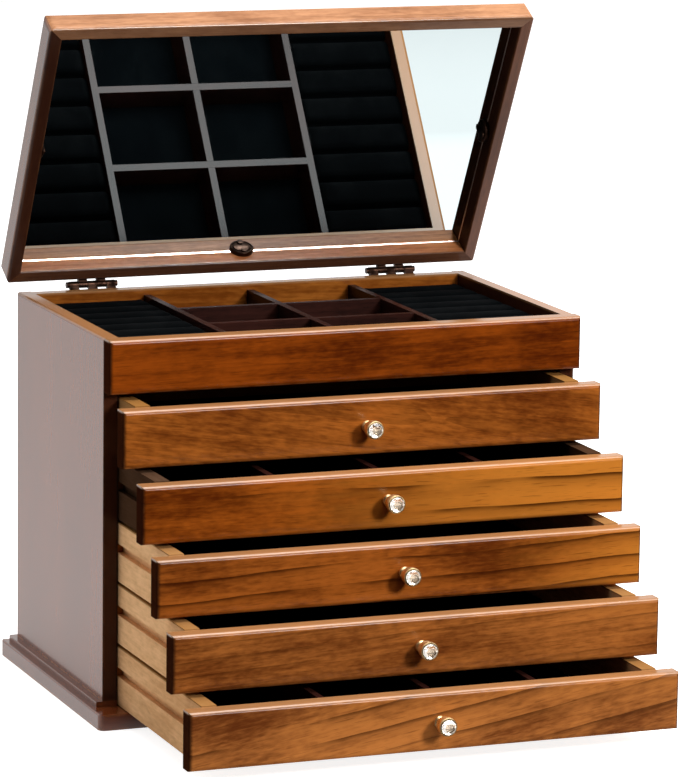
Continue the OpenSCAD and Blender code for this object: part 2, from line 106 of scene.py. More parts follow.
def amount(label, about, default, **kind):
    """A number that the user can change; kind holds its limits and its unit or subtype."""
    return bpy.props.FloatProperty(name=label, description=about, default=default, **kind)


def length(label, about, default):
    """A length that the user can change, in metres."""
    return amount(label, about, default, min=0.0, precision=4, unit="LENGTH", subtype="DISTANCE")


def factor(label, about, default):
    """A share between 0 and 1 that the user can change."""
    return amount(label, about, default, min=0.0, max=1.0, subtype="FACTOR")


class JEWELRYCASE_PG_wood(bpy.types.PropertyGroup):
    """Colours and figure of the boards."""

    front_light: colour("Front, light", "Early wood of the drawer fronts", (0.44, 0.130, 0.020))
    front_dark: colour("Front, dark", "Late wood of the drawer fronts", (0.105, 0.021, 0.003))
    sap: colour("Sapwood", "Golden wood at one end of a front", (0.62, 0.215, 0.026))
    case_light: colour("Case, light", "Early wood of the base and panels", (0.24, 0.056, 0.014))
    case_dark: colour("Case, dark", "Late wood of the base and panels", (0.17, 0.039, 0.010))
    lid_light: colour("Lid, light", "Early wood of the lid", (0.46, 0.170, 0.062))
    lid_dark: colour("Lid, dark", "Late wood of the lid", (0.22, 0.066, 0.020))
    divider_light: colour("Divider, light", "Early wood of the dividers", (0.034, 0.010, 0.007))
    divider_dark: colour("Divider, dark", "Late wood of the dividers", (0.012, 0.004, 0.003))
    inside_light: colour("Inside, light", "Early wood of the back panel and tray floor", (0.38, 0.125, 0.018))
    inside_dark: colour("Inside, dark", "Late wood of the back panel and tray floor", (0.15, 0.036, 0.004))
    pale_light: colour("Drawer box, light", "Early wood of the drawer boxes", (0.92, 0.56, 0.290))
    pale_dark: colour("Drawer box, dark", "Late wood of the drawer boxes", (0.62, 0.33, 0.145))
    # Pale arris colour: partly wear, partly a painted highlight along the arrises
    worn_and_highlit: colour("Worn edge", "Rubbed wood along the arrises", (0.50, 0.20, 0.065))
    # Painted shade on the ends of the fronts, where they lie in shade
    end: colour("End grain", "Dark toner on the ends of the fronts", (0.022, 0.006, 0.003))
    # Painted shade on the lid's rims, the right stile's inner face and the panels' front edges and insides
    rim: colour("Rim", "Dark toner on the lid's rims and the panels' insides", (0.016, 0.006, 0.004))
    # Lighter painted shade on the lid's front and right rims, where more light falls
    lip: colour("Lip", "Thinner toner on the lid's front and right rims", (0.050, 0.020, 0.010))
    # Painted light on the upper faces of the fronts and panels, which the lamp above lights
    top: colour("Top edge", "Rubbed upper edges of the fronts and panels", (0.37, 0.175, 0.067))
    box_top: colour("Box edge", "Upper edges of the drawer sides", (0.25, 0.110, 0.026))
    waver: length("Waver", "How far a growth ring strays from a circle", 4.0 * MM)
    wear: length("Wear width", "How far the rubbed arrises reach on to a face", 1.6 * MM)


class JEWELRYCASE_PG_velvet(bpy.types.PropertyGroup):
    """Colour and padding of the velvet."""

    deep: colour("Deep", "Velvet seen into the pile", (0.0010, 0.0018, 0.0024))
    nap: colour("Nap", "Velvet where the pile is brushed aside", (0.0014, 0.0024, 0.0031))
    slit: length("Slit depth", "Depth of the slit between two ring rolls", 6.0 * MM)
    pressure: amount("Pressure", "Air that swells the padding", 4.0, min=0.0)
    swell: length("Swell", "The most that a point of the padding moves when it swells", 0.9 * MM)


class JEWELRYCASE_PG_fittings(bpy.types.PropertyGroup):
    """Sizes and colours of the metal, glass and crystal."""

    brass: colour("Brass", "Polished knobs", (0.95, 0.70, 0.36))
    bronze: colour("Bronze", "Dark hinges and clips", (0.036, 0.018, 0.012))
    silver: colour("Silver", "Foil behind the crystals", (0.42, 0.36, 0.30))
    glass: colour("Mirror", "Silvered glass of the lid", (0.79, 0.89, 0.90))
    sink: length("Silver depth", "How far the silver seems to lie behind the face of the glass", 1.55 * MM)
    bevel: length("Mirror bevel", "Width of the ground edge of the glass", 0.5 * MM)
    clip_r: length("Clip radius", "Round edge of a mirror clip", 8.0 * MM)
    foot_r: length("Foot radius", "Knob foot against the drawer front", 3.6 * MM)
    neck_r: length("Neck radius", "Thinnest part of the knob", 2.5 * MM)
    cup_r: length("Cup radius", "Cup that holds the crystal", 5.4 * MM)
    knob_h: length("Knob height", "From the drawer front to the lip of the cup", 13.5 * MM)
    stone_r: length("Crystal radius", "Widest part of the crystal", 4.4 * MM)
    stone_h: length("Crystal height", "From the lip of the cup to the crystal's flat top", 2.9 * MM)
    screw_r: length("Screw radius", "Shank of the screw that holds a knob", 1.5 * MM)
    screw_head_r: length("Screw head radius", "Head of the screw that holds a knob", 3.0 * MM)
    screw_head_h: length("Screw head height", "Thickness of that screw's head", 1.8 * MM)


class JEWELRYCASE_PG_stage(bpy.types.PropertyGroup):
    """Camera and light."""

    camera: bpy.props.FloatVectorProperty(
        name="Camera", description="Place of the camera", subtype="TRANSLATION", unit="LENGTH",
        size=3, default=(-0.9620, -2.5389, 0.6870),
    )
    yaw: amount("Yaw", "Turn of the camera about the vertical", -0.3723, subtype="ANGLE")
    pitch: amount("Pitch", "How far the camera looks down", 0.1850, subtype="ANGLE")
    roll: amount("Roll", "Turn of the camera about its own line of sight", 0.01372, subtype="ANGLE")
    lens: amount("Lens", "Focal length on a 36 mm high sensor", 208.74, subtype="DISTANCE_CAMERA")
    key: amount("Key", "Power of the front lamp", 30.0, unit="POWER")
    top: amount("Top", "Power of the lamp overhead", 38.0, unit="POWER")
    surround: factor("Surround", "Light from the white walls left, right and behind", 0.9)
    dim_front: factor("Dim front", "Light from the side of the camera, as a share of the surround", 0.03)


class JEWELRYCASE_PG_settings(bpy.types.PropertyGroup):
    """All settings of the jewelry case."""

    wood: bpy.props.PointerProperty(type=JEWELRYCASE_PG_wood)
    velvet: bpy.props.PointerProperty(type=JEWELRYCASE_PG_velvet)
    fittings: bpy.props.PointerProperty(type=JEWELRYCASE_PG_fittings)
    stage: bpy.props.PointerProperty(type=JEWELRYCASE_PG_stage)


class Nodes:
    """Adds nodes to a node tree, with short calls for the kinds used here."""

    def __init__(self, tree):
        self.tree = tree

    def add(self, kind, inputs=None, **options):
        """A new node; inputs maps a socket's name or number to a value, or to the socket that feeds it."""
        made = self.tree.nodes.new(kind)
        for key, value in options.items():
            setattr(made, key, value)
        for key, value in (inputs or {}).items():
            if isinstance(value, bpy.types.NodeSocket):
                self.tree.links.new(value, made.inputs[key])
            else:
                made.inputs[key].default_value = value
        return made

    def math(self, operation, first, second=0.0):
        """The result of one sum."""
        return self.add("ShaderNodeMath", {0: first, 1: second}, operation=operation).outputs[0]

    def remap(self, value, low, high, to_low=0.0, to_high=1.0):
        """value, smoothly taken from low..high to to_low..to_high."""
        inputs = {"Value": value, "From Min": low, "From Max": high, "To Min": to_low, "To Max": to_high}
        return self.add("ShaderNodeMapRange", inputs, interpolation_type="SMOOTHSTEP").outputs[0]

    def mix(self, share, first, second, blend="MIX"):
        """Two colours mixed."""
        inputs = {0: share, 6: first, 7: second}
        return self.add("ShaderNodeMix", inputs, data_type="RGBA", blend_type=blend).outputs[2]

    def mapped(self, vector, middle, turn):
        """Coordinates counted from a middle, along axes that are turned."""
        inputs = {"Vector": vector, "Location": middle, "Rotation": turn}
        return self.add("ShaderNodeMapping", inputs, vector_type="TEXTURE").outputs[0]

    def stretched(self, vector, scale):
        """Coordinates multiplied axis by axis."""
        inputs = {0: vector, 1: scale}
        return self.add("ShaderNodeVectorMath", inputs, operation="MULTIPLY").outputs[0]

    def noise(self, vector, scale, detail=2.0, roughness=0.5):
        """Soft noise from 0 to 1."""
        inputs = {"Vector": vector, "Scale": scale, "Detail": detail, "Roughness": roughness}
        return self.add("ShaderNodeTexNoise", inputs).outputs["Fac"]

    def bump(self, height, strength, distance):
        """A normal roughened by height."""
        inputs = {"Height": height, "Strength": strength, "Distance": distance}
        return self.add("ShaderNodeBump", inputs).outputs[0]


class Finish(Nodes):
    """A procedural material on the object's own coordinates."""

    def __init__(self, name):
        self.material = bpy.data.materials.new(name)
        self.material.use_nodes = True
        super().__init__(self.material.node_tree)
        self.shader = self.tree.nodes["Principled BSDF"]
        self.place = self.add("ShaderNodeTexCoord").outputs["Object"]

    def wear(self, **sockets):
        """Sets or feeds the shader's sockets; an underscore stands for a space in a socket's name."""
        for key, value in sockets.items():
            socket = self.shader.inputs[key.replace("_", " ")]
            if isinstance(value, bpy.types.NodeSocket):
                self.tree.links.new(value, socket)
            else:
                socket.default_value = value


def opaque(rgb, share=1.0):
    """A colour with full alpha, multiplied by a share."""
    return (*(share * value for value in rgb), 1.0)


def settings():
    """The scene's settings of the jewelry case."""
    return bpy.context.scene.jewelry_case


def span(node, seen_from):
    """The lowest and the highest corner of a node's box, after a matrix has moved its points."""
    places = [seen_from @ vert.co for vert in frame["nodes"][node].data.vertices]
    return Vector(map(min, zip(*places))), Vector(map(max, zip(*places)))


def board_box(node, turn):
    """Middle and half size of a board's box, measured along the axes of the frame that turn gives."""
    low, high = span(node, turn.to_matrix().transposed())
    return turn.to_matrix() @ ((low + high) / 2), (high - low) / 2


def tone(kind, tint):
    """The light and the dark colour of a kind of wood, each multiplied by a tint."""
    tones = settings().wood
    pair = (getattr(tones, f"{kind}_light"), getattr(tones, f"{kind}_dark"))
    return [[value * share for value, share in zip(each, tint)] for each in pair]


class Wood(Finish):
    """Lacquered wood for one board, in layers: stain, sapwood, growth rings and pores, arrises rubbed pale
    with a painted highlight, faces with painted shade and painted light, and lacquer."""

    def __init__(self, node, stain, pith, grain="X", turn=(0.0, 0.0, 0.0), tilt=0.0):
        """stain is the light and the dark colour, turn how the board lies, pith the centre of the rings from
        the board's middle, and tilt the lean of their axis."""
        super().__init__(f"{node}_wood")
        self.light, self.dark = stain
        middle, self.half = board_box(node, Euler(turn))
        self.board = self.mapped(self.place, middle, turn)
        lean = Vector(GRAIN_TURNS[grain]) + Vector((0.0, tilt, 0.0))
        self.log = self.mapped(self.board, pith, lean)
        self.fibres = self.along(0.02, 850.0, 3.0)
        self.pores = self.remap(self.along(0.045, 1300.0), 0.57, 0.70)
        self.streaks = self.along(0.08, 150.0, 4.0)
        self.colours = self.figure()
        self.face_coats = []

    def along(self, stretch, scale, detail=2.0):
        """Noise drawn out along the grain."""
        return self.noise(self.stretched(self.log, (stretch, 1.0, 1.0)), scale, detail, 0.6)

    def figure(self):
        """The stain: streaks, flecks and curl spread over its two colours."""
        clouds = self.remap(self.along(0.4, 17.0), 0.30, 0.72)
        curl = self.noise(self.stretched(self.log, (1.0, 0.3, 0.3)), 90.0, 2.0)
        layers = (
            (self.streaks, 0.50),
            (self.along(0.28, 420.0, 2.0), 0.40),
            (clouds, 0.30),
            (curl, 0.13),
            (self.fibres, 0.20),
        )
        shade = 0.0
        for layer, share in layers:
            shade = self.math("ADD", self.math("MULTIPLY", layer, share), shade)
        usual = 0.5 * sum(share for layer, share in layers)
        return self.mix(self.remap(shade, usual - 0.27, usual + 0.27), opaque(self.light), opaque(self.dark))

    def grow(self, rings, spacing, pores):
        """Growth rings and pores: rings and pores are how strongly each shows, spacing how far apart the
        rings are."""
        scale = WAVE_LENGTH / spacing
        growth = self.add(
            "ShaderNodeTexWave",
            {
                "Vector": self.stretched(self.log, (0.35, 1.0, 1.0)),
                "Scale": scale,
                "Distortion": math.tau * settings().wood.waver / spacing,
                "Detail": 3.0,
                "Detail Scale": 19.0 / scale,
                "Detail Roughness": 0.55,
            },
            wave_type="RINGS", rings_direction="X", wave_profile="SAW",
        ).outputs["Fac"]
        fading = self.remap(self.along(0.25, 40.0), 0.34, 0.52, 0.0, rings)
        shading = self.remap(growth, 0.30, 1.0, 0.0, 0.45)
        line = self.remap(growth, 0.80, 0.98, 0.0, 0.55)
        late = self.math("MULTIPLY", self.math("ADD", shading, line), fading)
        grown = self.mix(late, self.colours, opaque(self.dark, 0.45))
        open_pores = self.math("MULTIPLY", self.pores, pores)
        self.colours = self.mix(open_pores, grown, opaque(self.dark, 0.5))

    def sapwood(self, start, full):
        """Golden sapwood that comes in along the board between two places."""
        across = self.add("ShaderNodeSeparateXYZ", {0: self.board}).outputs["X"]
        edge = self.math("ADD", across, self.math("MULTIPLY", self.streaks, 0.10))
        share = self.remap(edge, start + 0.05, full + 0.05, 0.0, 0.80)
        self.colours = self.mix(share, self.colours, opaque(settings().wood.sap))

    def rub_and_highlight(self):
        """Arrises rubbed pale, which also paints their highlight: the middle one of the distances to the
        board's faces leads to the nearest arris."""
        tones = settings().wood
        size = self.add("ShaderNodeVectorMath", {0: self.board}, operation="ABSOLUTE").outputs[0]
        inset = self.add("ShaderNodeVectorMath", {0: self.half, 1: size}, operation="SUBTRACT").outputs[0]
        x, y, z = self.add("ShaderNodeSeparateXYZ", {0: inset}).outputs
        inner = self.math("MINIMUM", self.math("MAXIMUM", x, y), z)
        arris = self.math("MAXIMUM", self.math("MINIMUM", x, y), inner)
        wear = self.remap(arris, 0.2 * tones.wear, tones.wear, 0.6, 0.0)
        patchy = self.remap(self.noise(self.board, 130.0, 2.0), 0.30, 0.60)
        # Worn colour on the arrises, standing partly for wear and partly for a painted highlight
        self.colours = self.mix(self.math("MULTIPLY", wear, patchy), self.colours, opaque(tones.worn_and_highlit))

    def tone_and_shade_face(self, face, stain):
        """Another colour on the face at one end of an axis, such as "X-": painted shade on ends and rims,
        painted light on tops, and darker upper edges on the drawer sides.
        """
        axis, side = face
        reach, strength, coat = FACE_SHADING_AND_TONES[stain]
        place = self.add("ShaderNodeSeparateXYZ", {0: self.board}).outputs[axis]
        limit = self.half["XYZ".index(axis)]
        away = self.math("SUBTRACT", limit, place) if side == "+" else self.math("ADD", place, limit)
        here = self.remap(away, 0.3 * MM, reach, 1.0, 0.0)
        self.face_coats.append((here, coat))
        share = self.math("MULTIPLY", here, strength)
        self.colours = self.mix(share, self.colours, opaque(getattr(settings().wood, stain)))

    def lacquer(self, coat):
        """Closes the surface with lacquer; the faces listed in the face table have their own share of it."""
        for here, own in self.face_coats:
            coat = self.remap(here, 0.0, 1.0, coat, own)
        relief = self.math("SUBTRACT", self.math("MULTIPLY", self.fibres, 0.4), self.pores)
        self.wear(
            Base_Color=self.colours,
            Roughness=self.remap(self.math("ADD", self.fibres, self.pores), 0.2, 1.2, 0.45, 0.62),
            Normal=self.bump(relief, 0.15, 0.10 * MM),
            Specular_IOR_Level=0.0,
            Coat_Weight=coat,
            Coat_Roughness=0.20,
            Coat_IOR=1.7,
        )


def board(
    node, kind, tint=(1.0, 1.0, 1.0), coat=0.15, rubbed_and_highlit=True, faces=None, sap=None,
    rings=0.3, spacing=5.0 * MM, pores=0.4, **lay,
):
    """Finishes a board in a kind of wood; faces gives a face such as "X-" its own colour, mostly painted
    shade and painted light, sap is where sapwood comes in, and lay tells how the board and its rings lie."""
    finish = Wood(node, tone(kind, tint), **lay)
    if sap:
        finish.sapwood(*sap)
    finish.grow(rings, spacing, pores)
    if rubbed_and_highlit:
        finish.rub_and_highlight()
    # Painted shade on ends and rims, painted light on tops, darker upper edges on the drawer sides
    for face, stain in (faces or {}).items():
        finish.tone_and_shade_face(face, stain)
    finish.lacquer(coat)
    dress(node, finish.material)


def velvet(name, shade=1.0):
    """Near-black velvet with a brushed nap and a cool sheen; shade darkens its colour, and on the ring rolls
    that darkening is painted shade.
    """
    tones = settings().velvet
    deep = opaque(tones.deep, shade)
    nap = opaque(tones.nap, shade)
    finish = Finish(name)
    strokes = finish.noise(finish.stretched(finish.place, (1.0, 0.55, 1.0)), 55.0, 3.0, 0.6)
    brushed = finish.remap(strokes, 0.35, 0.70)
    pile = finish.noise(finish.place, 2600.0, 1.0)
    finish.wear(
        Base_Color=finish.mix(brushed, deep, nap),
        Roughness=finish.remap(brushed, 0.0, 1.0, 0.92, 0.80),
        Normal=finish.bump(pile, 0.35, 0.15 * MM),
        Specular_IOR_Level=0.03,
        Sheen_Weight=0.002,
        Sheen_Roughness=0.35,
        Sheen_Tint=(0.55, 0.66, 0.90, 1.0),
    )
    return finish.material


def metal(name, tint, rough, dulled, scale=240.0):
    """Metal whose polish changes from place to place; dulled is how dark its tarnish is."""
    finish = Finish(name)
    tarnish = finish.remap(finish.noise(finish.place, scale, 4.0, 0.6), 0.40, 0.72)
    scratches = finish.noise(finish.stretched(finish.place, (1.0, 1.0, 9.0)), 1400.0, 2.0)
    finish.wear(
        Base_Color=finish.mix(tarnish, opaque(tint), opaque(tint, dulled)),
        Metallic=1.0,
        Roughness=finish.remap(finish.math("ADD", tarnish, scratches), 0.2, 1.6, 0.6 * rough, 1.5 * rough),
        Normal=finish.bump(scratches, 0.06, 0.03 * MM),
    )
    return finish.material


def mirror_glass(name):
    """Silvered glass with a trace of haze."""
    glass = settings().fittings.glass
    finish = Finish(name)
    haze = finish.noise(finish.place, 30.0, 4.0, 0.6)
    finish.wear(
        Base_Color=finish.mix(haze, opaque(glass), opaque(glass, 0.97)),
        Metallic=1.0,
        Roughness=finish.remap(haze, 0.35, 0.85, 0.0, 0.05),
    )
    return finish.material


def ground_glass(name):
    """The pale ground edge of the mirror."""
    finish = Finish(name)
    scuffs = finish.noise(finish.place, 700.0, 3.0)
    finish.wear(
        Base_Color=finish.mix(scuffs, (0.80, 0.66, 0.60, 1.0), (0.70, 0.57, 0.52, 1.0)),
        Metallic=0.6,
        Roughness=finish.remap(scuffs, 0.3, 0.8, 0.12, 0.28),
    )
    return finish.material


def crystal(name):
    """Clear cut crystal with the faintest cloud in it."""
    finish = Finish(name)
    cloud = finish.noise(finish.place, 500.0, 2.0)
    finish.wear(
        Base_Color=finish.mix(cloud, (1.0, 0.95, 0.88, 1.0), (0.97, 0.91, 0.83, 1.0)),
        Roughness=finish.remap(cloud, 0.4, 0.8, 0.0, 0.03),
        IOR=1.62,
        Transmission_Weight=1.0,
    )
    return finish.material


def closed_box(node):
    """The box of one of the lid's nodes with the lid shut."""
    return span(node, OPENED.inverted())


def dress(node, material):
    """Gives a CAD node its finish."""
    slots = frame["nodes"][node].data.materials
    slots.clear()
    slots.append(material)


def placed(name, data):
    """A new object in the scene."""
    piece = bpy.data.objects.new(name, data)
    bpy.context.scene.collection.objects.link(piece)
    return piece


def finished_piece(name, bm, material, body, slot, sharp=math.radians(35)):
    """A new object made of a bmesh, with edges over the sharp angle kept crisp, riding on a body."""
    mesh = bpy.data.meshes.new(name)
    bm.to_mesh(mesh)
    bm.free()
    mesh.shade_smooth()
    mesh.set_sharp_from_angle(angle=sharp)
    mesh.materials.append(material)
    piece = placed(name, mesh)
    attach(piece, body)
    return piece


def turned(profile, steps=48):
    """A bmesh turned about Z from pairs of radius and height."""
    bm = bmesh.new()
    verts = [bm.verts.new((radius, 0.0, height)) for radius, height in profile]
    edges = [bm.edges.new(pair) for pair in zip(verts, verts[1:])]
    bmesh.ops.spin(
        bm, geom=verts + edges, cent=(0, 0, 0), axis=(0, 0, 1), angle=math.tau, steps=steps, use_merge=True
    )
    bmesh.ops.remove_doubles(bm, verts=bm.verts, dist=1e-6)
    bmesh.ops.recalc_face_normals(bm, faces=bm.faces)
    return bm


def swept(radius, start, start_handle, end_handle, end, steps=12):
    """Pairs of radius and height along a smooth curve, whose points are shares of a radius and heights in
    millimetres."""
    points = []
    for share, height in (start, start_handle, end_handle, end):
        points.append(Vector((share * radius, height * MM, 0.0)))
    return [(point.x, point.y) for point in geometry.interpolate_bezier(*points, steps)]


def sliced(bm, place, way, **kept):
    """Cuts a bmesh along the plane through a place that lies square to a way; kept says what stays."""
    parts = [*bm.verts, *bm.edges, *bm.faces]
    bmesh.ops.bisect_plane(bm, geom=parts, plane_co=place, plane_no=way, **kept)


def closed(bm):
    """Fills the holes of a bmesh and turns its faces outwards."""
    bmesh.ops.holes_fill(bm, edges=[edge for edge in bm.edges if edge.is_boundary], sides=0)
    bmesh.ops.recalc_face_normals(bm, faces=bm.faces)
    return bm


def pad(size, cuts, top):
    """A closed pad with a corner at the origin: a grid whose height is top(x, y), with walls down to its
    floor."""
    bm = bmesh.new()
    bmesh.ops.create_grid(bm, x_segments=cuts[0], y_segments=cuts[1], size=0.5)
    bmesh.ops.scale(bm, vec=size, verts=bm.verts)
    bmesh.ops.translate(bm, vec=size / 2, verts=bm.verts)
    for vert in bm.verts:
        vert.co.z = top(vert.co.x, vert.co.y)
    rim = [edge for edge in bm.edges if edge.is_boundary]
    walls = bmesh.ops.extrude_edge_only(bm, edges=rim)["geom"]
    for vert in walls:
        if isinstance(vert, bmesh.types.BMVert):
            vert.co.z = 0.0
    return closed(bm)


def swell(bm, held):
    """Blows a pad up by a short cloth simulation and refines it; held tells which points stay where they
    are."""
    values = settings().velvet
    bm.verts.ensure_lookup_table()
    scene = bpy.context.scene
    mesh = bpy.data.meshes.new("swelling")
    bm.to_mesh(mesh)
    piece = placed("swelling", mesh)
    pins = piece.vertex_groups.new(name="held")
    pins.add([vert.index for vert in bm.verts if held(vert.co)], 1.0, "REPLACE")
    cloth = piece.modifiers.new("swell", "CLOTH")
    cloth.settings.use_pressure = True
    cloth.settings.uniform_pressure_force = values.pressure
    cloth.settings.vertex_group_mass = pins.name
    cloth.settings.effector_weights.gravity = 0.0
    for number in range(1, SWELL_FRAMES + 1):
        scene.frame_set(number)
    swollen = piece.evaluated_get(bpy.context.evaluated_depsgraph_get()).data
    for vert, after in zip(bm.verts, swollen.vertices):
        move = after.co - vert.co
        vert.co += move * min(1.0, values.swell / max(move.length, 1e-9))
    bpy.data.objects.remove(piece)
    bpy.data.meshes.remove(mesh)
    scene.frame_set(1)
    bmesh.ops.subdivide_edges(bm, edges=bm.edges, cuts=1, use_grid_fill=True, smooth=0.8)


def set_down(name, bm, corner, material, body, node):
    """Sets a copy of a pad down with its corner at a place, instead of a CAD node."""
    copy = bm.copy()
    bmesh.ops.translate(copy, vec=corner, verts=copy.verts)
    piece = finished_piece(name, copy, material, body, "velvet", sharp=math.radians(70))
    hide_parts(node)


class JEWELRYCASE_OT_casework(bpy.types.Operator):
    """Finish the base, the panels and the wooden parts of the tray."""

    bl_idname = "jewelry_case.casework"
    bl_label = "Casework"

    def execute(self, context):
        board("base_board", "case", coat=1.0, pith=(0.1, 0.03, -0.06), rings=0.3)
        for side, lean, inner in (("left", 1.0, "X+"), ("right", -1.0, "X-")):
            pith = (0.07 * lean, -0.02, 0.1 * lean)
            # Painted shade on the panel's front edge and inner face, painted light on its top
            faces = {"Y-": "rim", inner: "rim", "Z+": "top"}
            board(f"side_panel_{side}", "case", coat=1.0, faces=faces, grain="Z", pith=pith, rings=0.08)
        # Painted light on the back panel's upper edge
        board(
            "back_panel", "inside", coat=0.1, rubbed_and_highlit=False, faces={"Z+": "top"},
            pith=(0.0, 0.06, -0.02), tilt=0.03, rings=0.4,
        )
        board(
            "tray_front", "front", (0.60, 0.40, 0.16), faces=FRONT_FACES,
            pith=(0.45, 0.05, -0.07), tilt=-0.02, rings=0.25,
        )
        board("tray_floor", "inside", rubbed_and_highlit=False, pith=(0.2, 0.02, -0.08))
        for node, grain in (("tray_long_dividers", "Y"), ("tray_cross_dividers", "X")):
            board(node, "divider", coat=0.35, rubbed_and_highlit=False, grain=grain, pith=(0.0, 0.03, -0.05))
        board("drawer_runners", "inside", coat=0.0, rubbed_and_highlit=False, grain="Y", pith=(0.03, 0.0, 0.1))
        return {"FINISHED"}


class JEWELRYCASE_OT_drawers(bpy.types.Operator):
    """Finish the wood of the five drawers, each front with its own figure."""

    bl_idname = "jewelry_case.drawers"
    bl_label = "Drawers"

    # For each front: tint, centre of the rings from the board's middle, lean of their axis, how they show and
    # how far apart they are
    FRONTS = {
        1: ((1.00, 0.98, 0.85), (0.4, 0.030, -0.050), 0.150, 0.30, 6.0 * MM),
        2: ((0.80, 0.64, 0.36), (0.1, 0.030, -0.120), 0.006, 0.90, 14.7 * MM),
        3: ((0.86, 0.78, 0.66), (-0.2, 0.030, -0.100), -0.035, 0.85, 12.0 * MM),
        4: ((1.00, 1.10, 1.35), (0.3, 0.040, -0.055), -0.050, 0.45, 7.0 * MM),
        5: ((1.06, 1.22, 1.70), (0.0, 0.030, -0.080), -0.170, 0.75, 13.0 * MM),
    }
    # Where sapwood starts along a front and where it is full
    SAPWOOD = {2: (-0.10, 0.12), 3: (0.05, 0.20)}
    # The boxes of the upper two drawers are darker than the others; drawer 2's box is painted near black
    #     as painted shade, its upper edges too
    BOX_TINTS = {1: (0.45, 0.40, 0.30), 2: (0.09, 0.08, 0.09)}
    SHADED_BOX = 2

    def execute(self, context):
        for number in DRAWERS:
            drawer = f"drawer_{number}"
            tint, pith, tilt, rings, spacing = self.FRONTS[number]
            board(
                f"{drawer}_front", "front", tint, faces=FRONT_FACES, sap=self.SAPWOOD.get(number),
                pith=pith, tilt=tilt, rings=rings, spacing=spacing,
            )
            box_tint = self.BOX_TINTS.get(number, (1.0, 1.0, 1.0))
            edge = {} if number == self.SHADED_BOX else {"Z+": "box_top"}
            boxes = {
                "sides": ("Y", (0.04 + 0.01 * number, 0.3 * number, -0.02), edge),
                "back": ("X", (0.2 * number, 0.05, 0.02), edge),
                "bottom": ("X", (0.1 * number, 0.0, 0.07), {}),
            }
            for part, (grain, pith, faces) in boxes.items():
                board(
                    f"{drawer}_{part}", "pale", box_tint, coat=0.0, rubbed_and_highlit=False, faces=faces,
                    grain=grain, pith=pith, rings=0.15, pores=0.12,
                )
            if number in DRAWERS_WITH_DIVIDERS:
                pith = (0.02, 0.1 * number, 0.05)
                board(f"{drawer}_dividers", "divider", rubbed_and_highlit=False, grain="Y", pith=pith)
        return {"FINISHED"}


class JEWELRYCASE_OT_lid(bpy.types.Operator):
    """Finish the lid's frame and its panel."""

    bl_idname = "jewelry_case.lid"
    bl_label = "Lid"

    # For each board: tint, lacquer, direction of the grain, centre of the rings, and faces of the shut lid
    # with
    #     painted shade
    BOARDS = {
        # Front rail tinted lighter and greyer than the rest: painted light and painted sheen on its upturned
        # face
        "lid_front_rail": ((1.05, 1.36, 1.80), 0.3, "X", (0.2, 0.04, -0.05), {"Z-": "lip"}),
        "lid_back_rail": ((1.0, 1.0, 1.0), 0.3, "X", (-0.3, 0.05, 0.04), {"Z-": "rim"}),
        "lid_left_stile": ((0.50, 0.42, 0.42), 0.95, "Y", (0.05, 0.2, -0.03), {"Z-": "rim"}),
        "lid_right_stile": ((0.60, 0.50, 0.45), 0.5, "Y", (-0.05, 0.1, -0.04), {"Z-": "lip", "X-": "rim"}),
        "lid_panel": ((0.60, 0.50, 0.45), 0.9, "X", (0.1, 0.02, -0.07), {}),
    }

    def execute(self, context):
        for node, (tint, coat, grain, pith, faces) in self.BOARDS.items():
            board(node, "lid", tint, coat, faces=faces, grain=grain, turn=(LID_TURN, 0.0, 0.0), pith=pith)
        return {"FINISHED"}


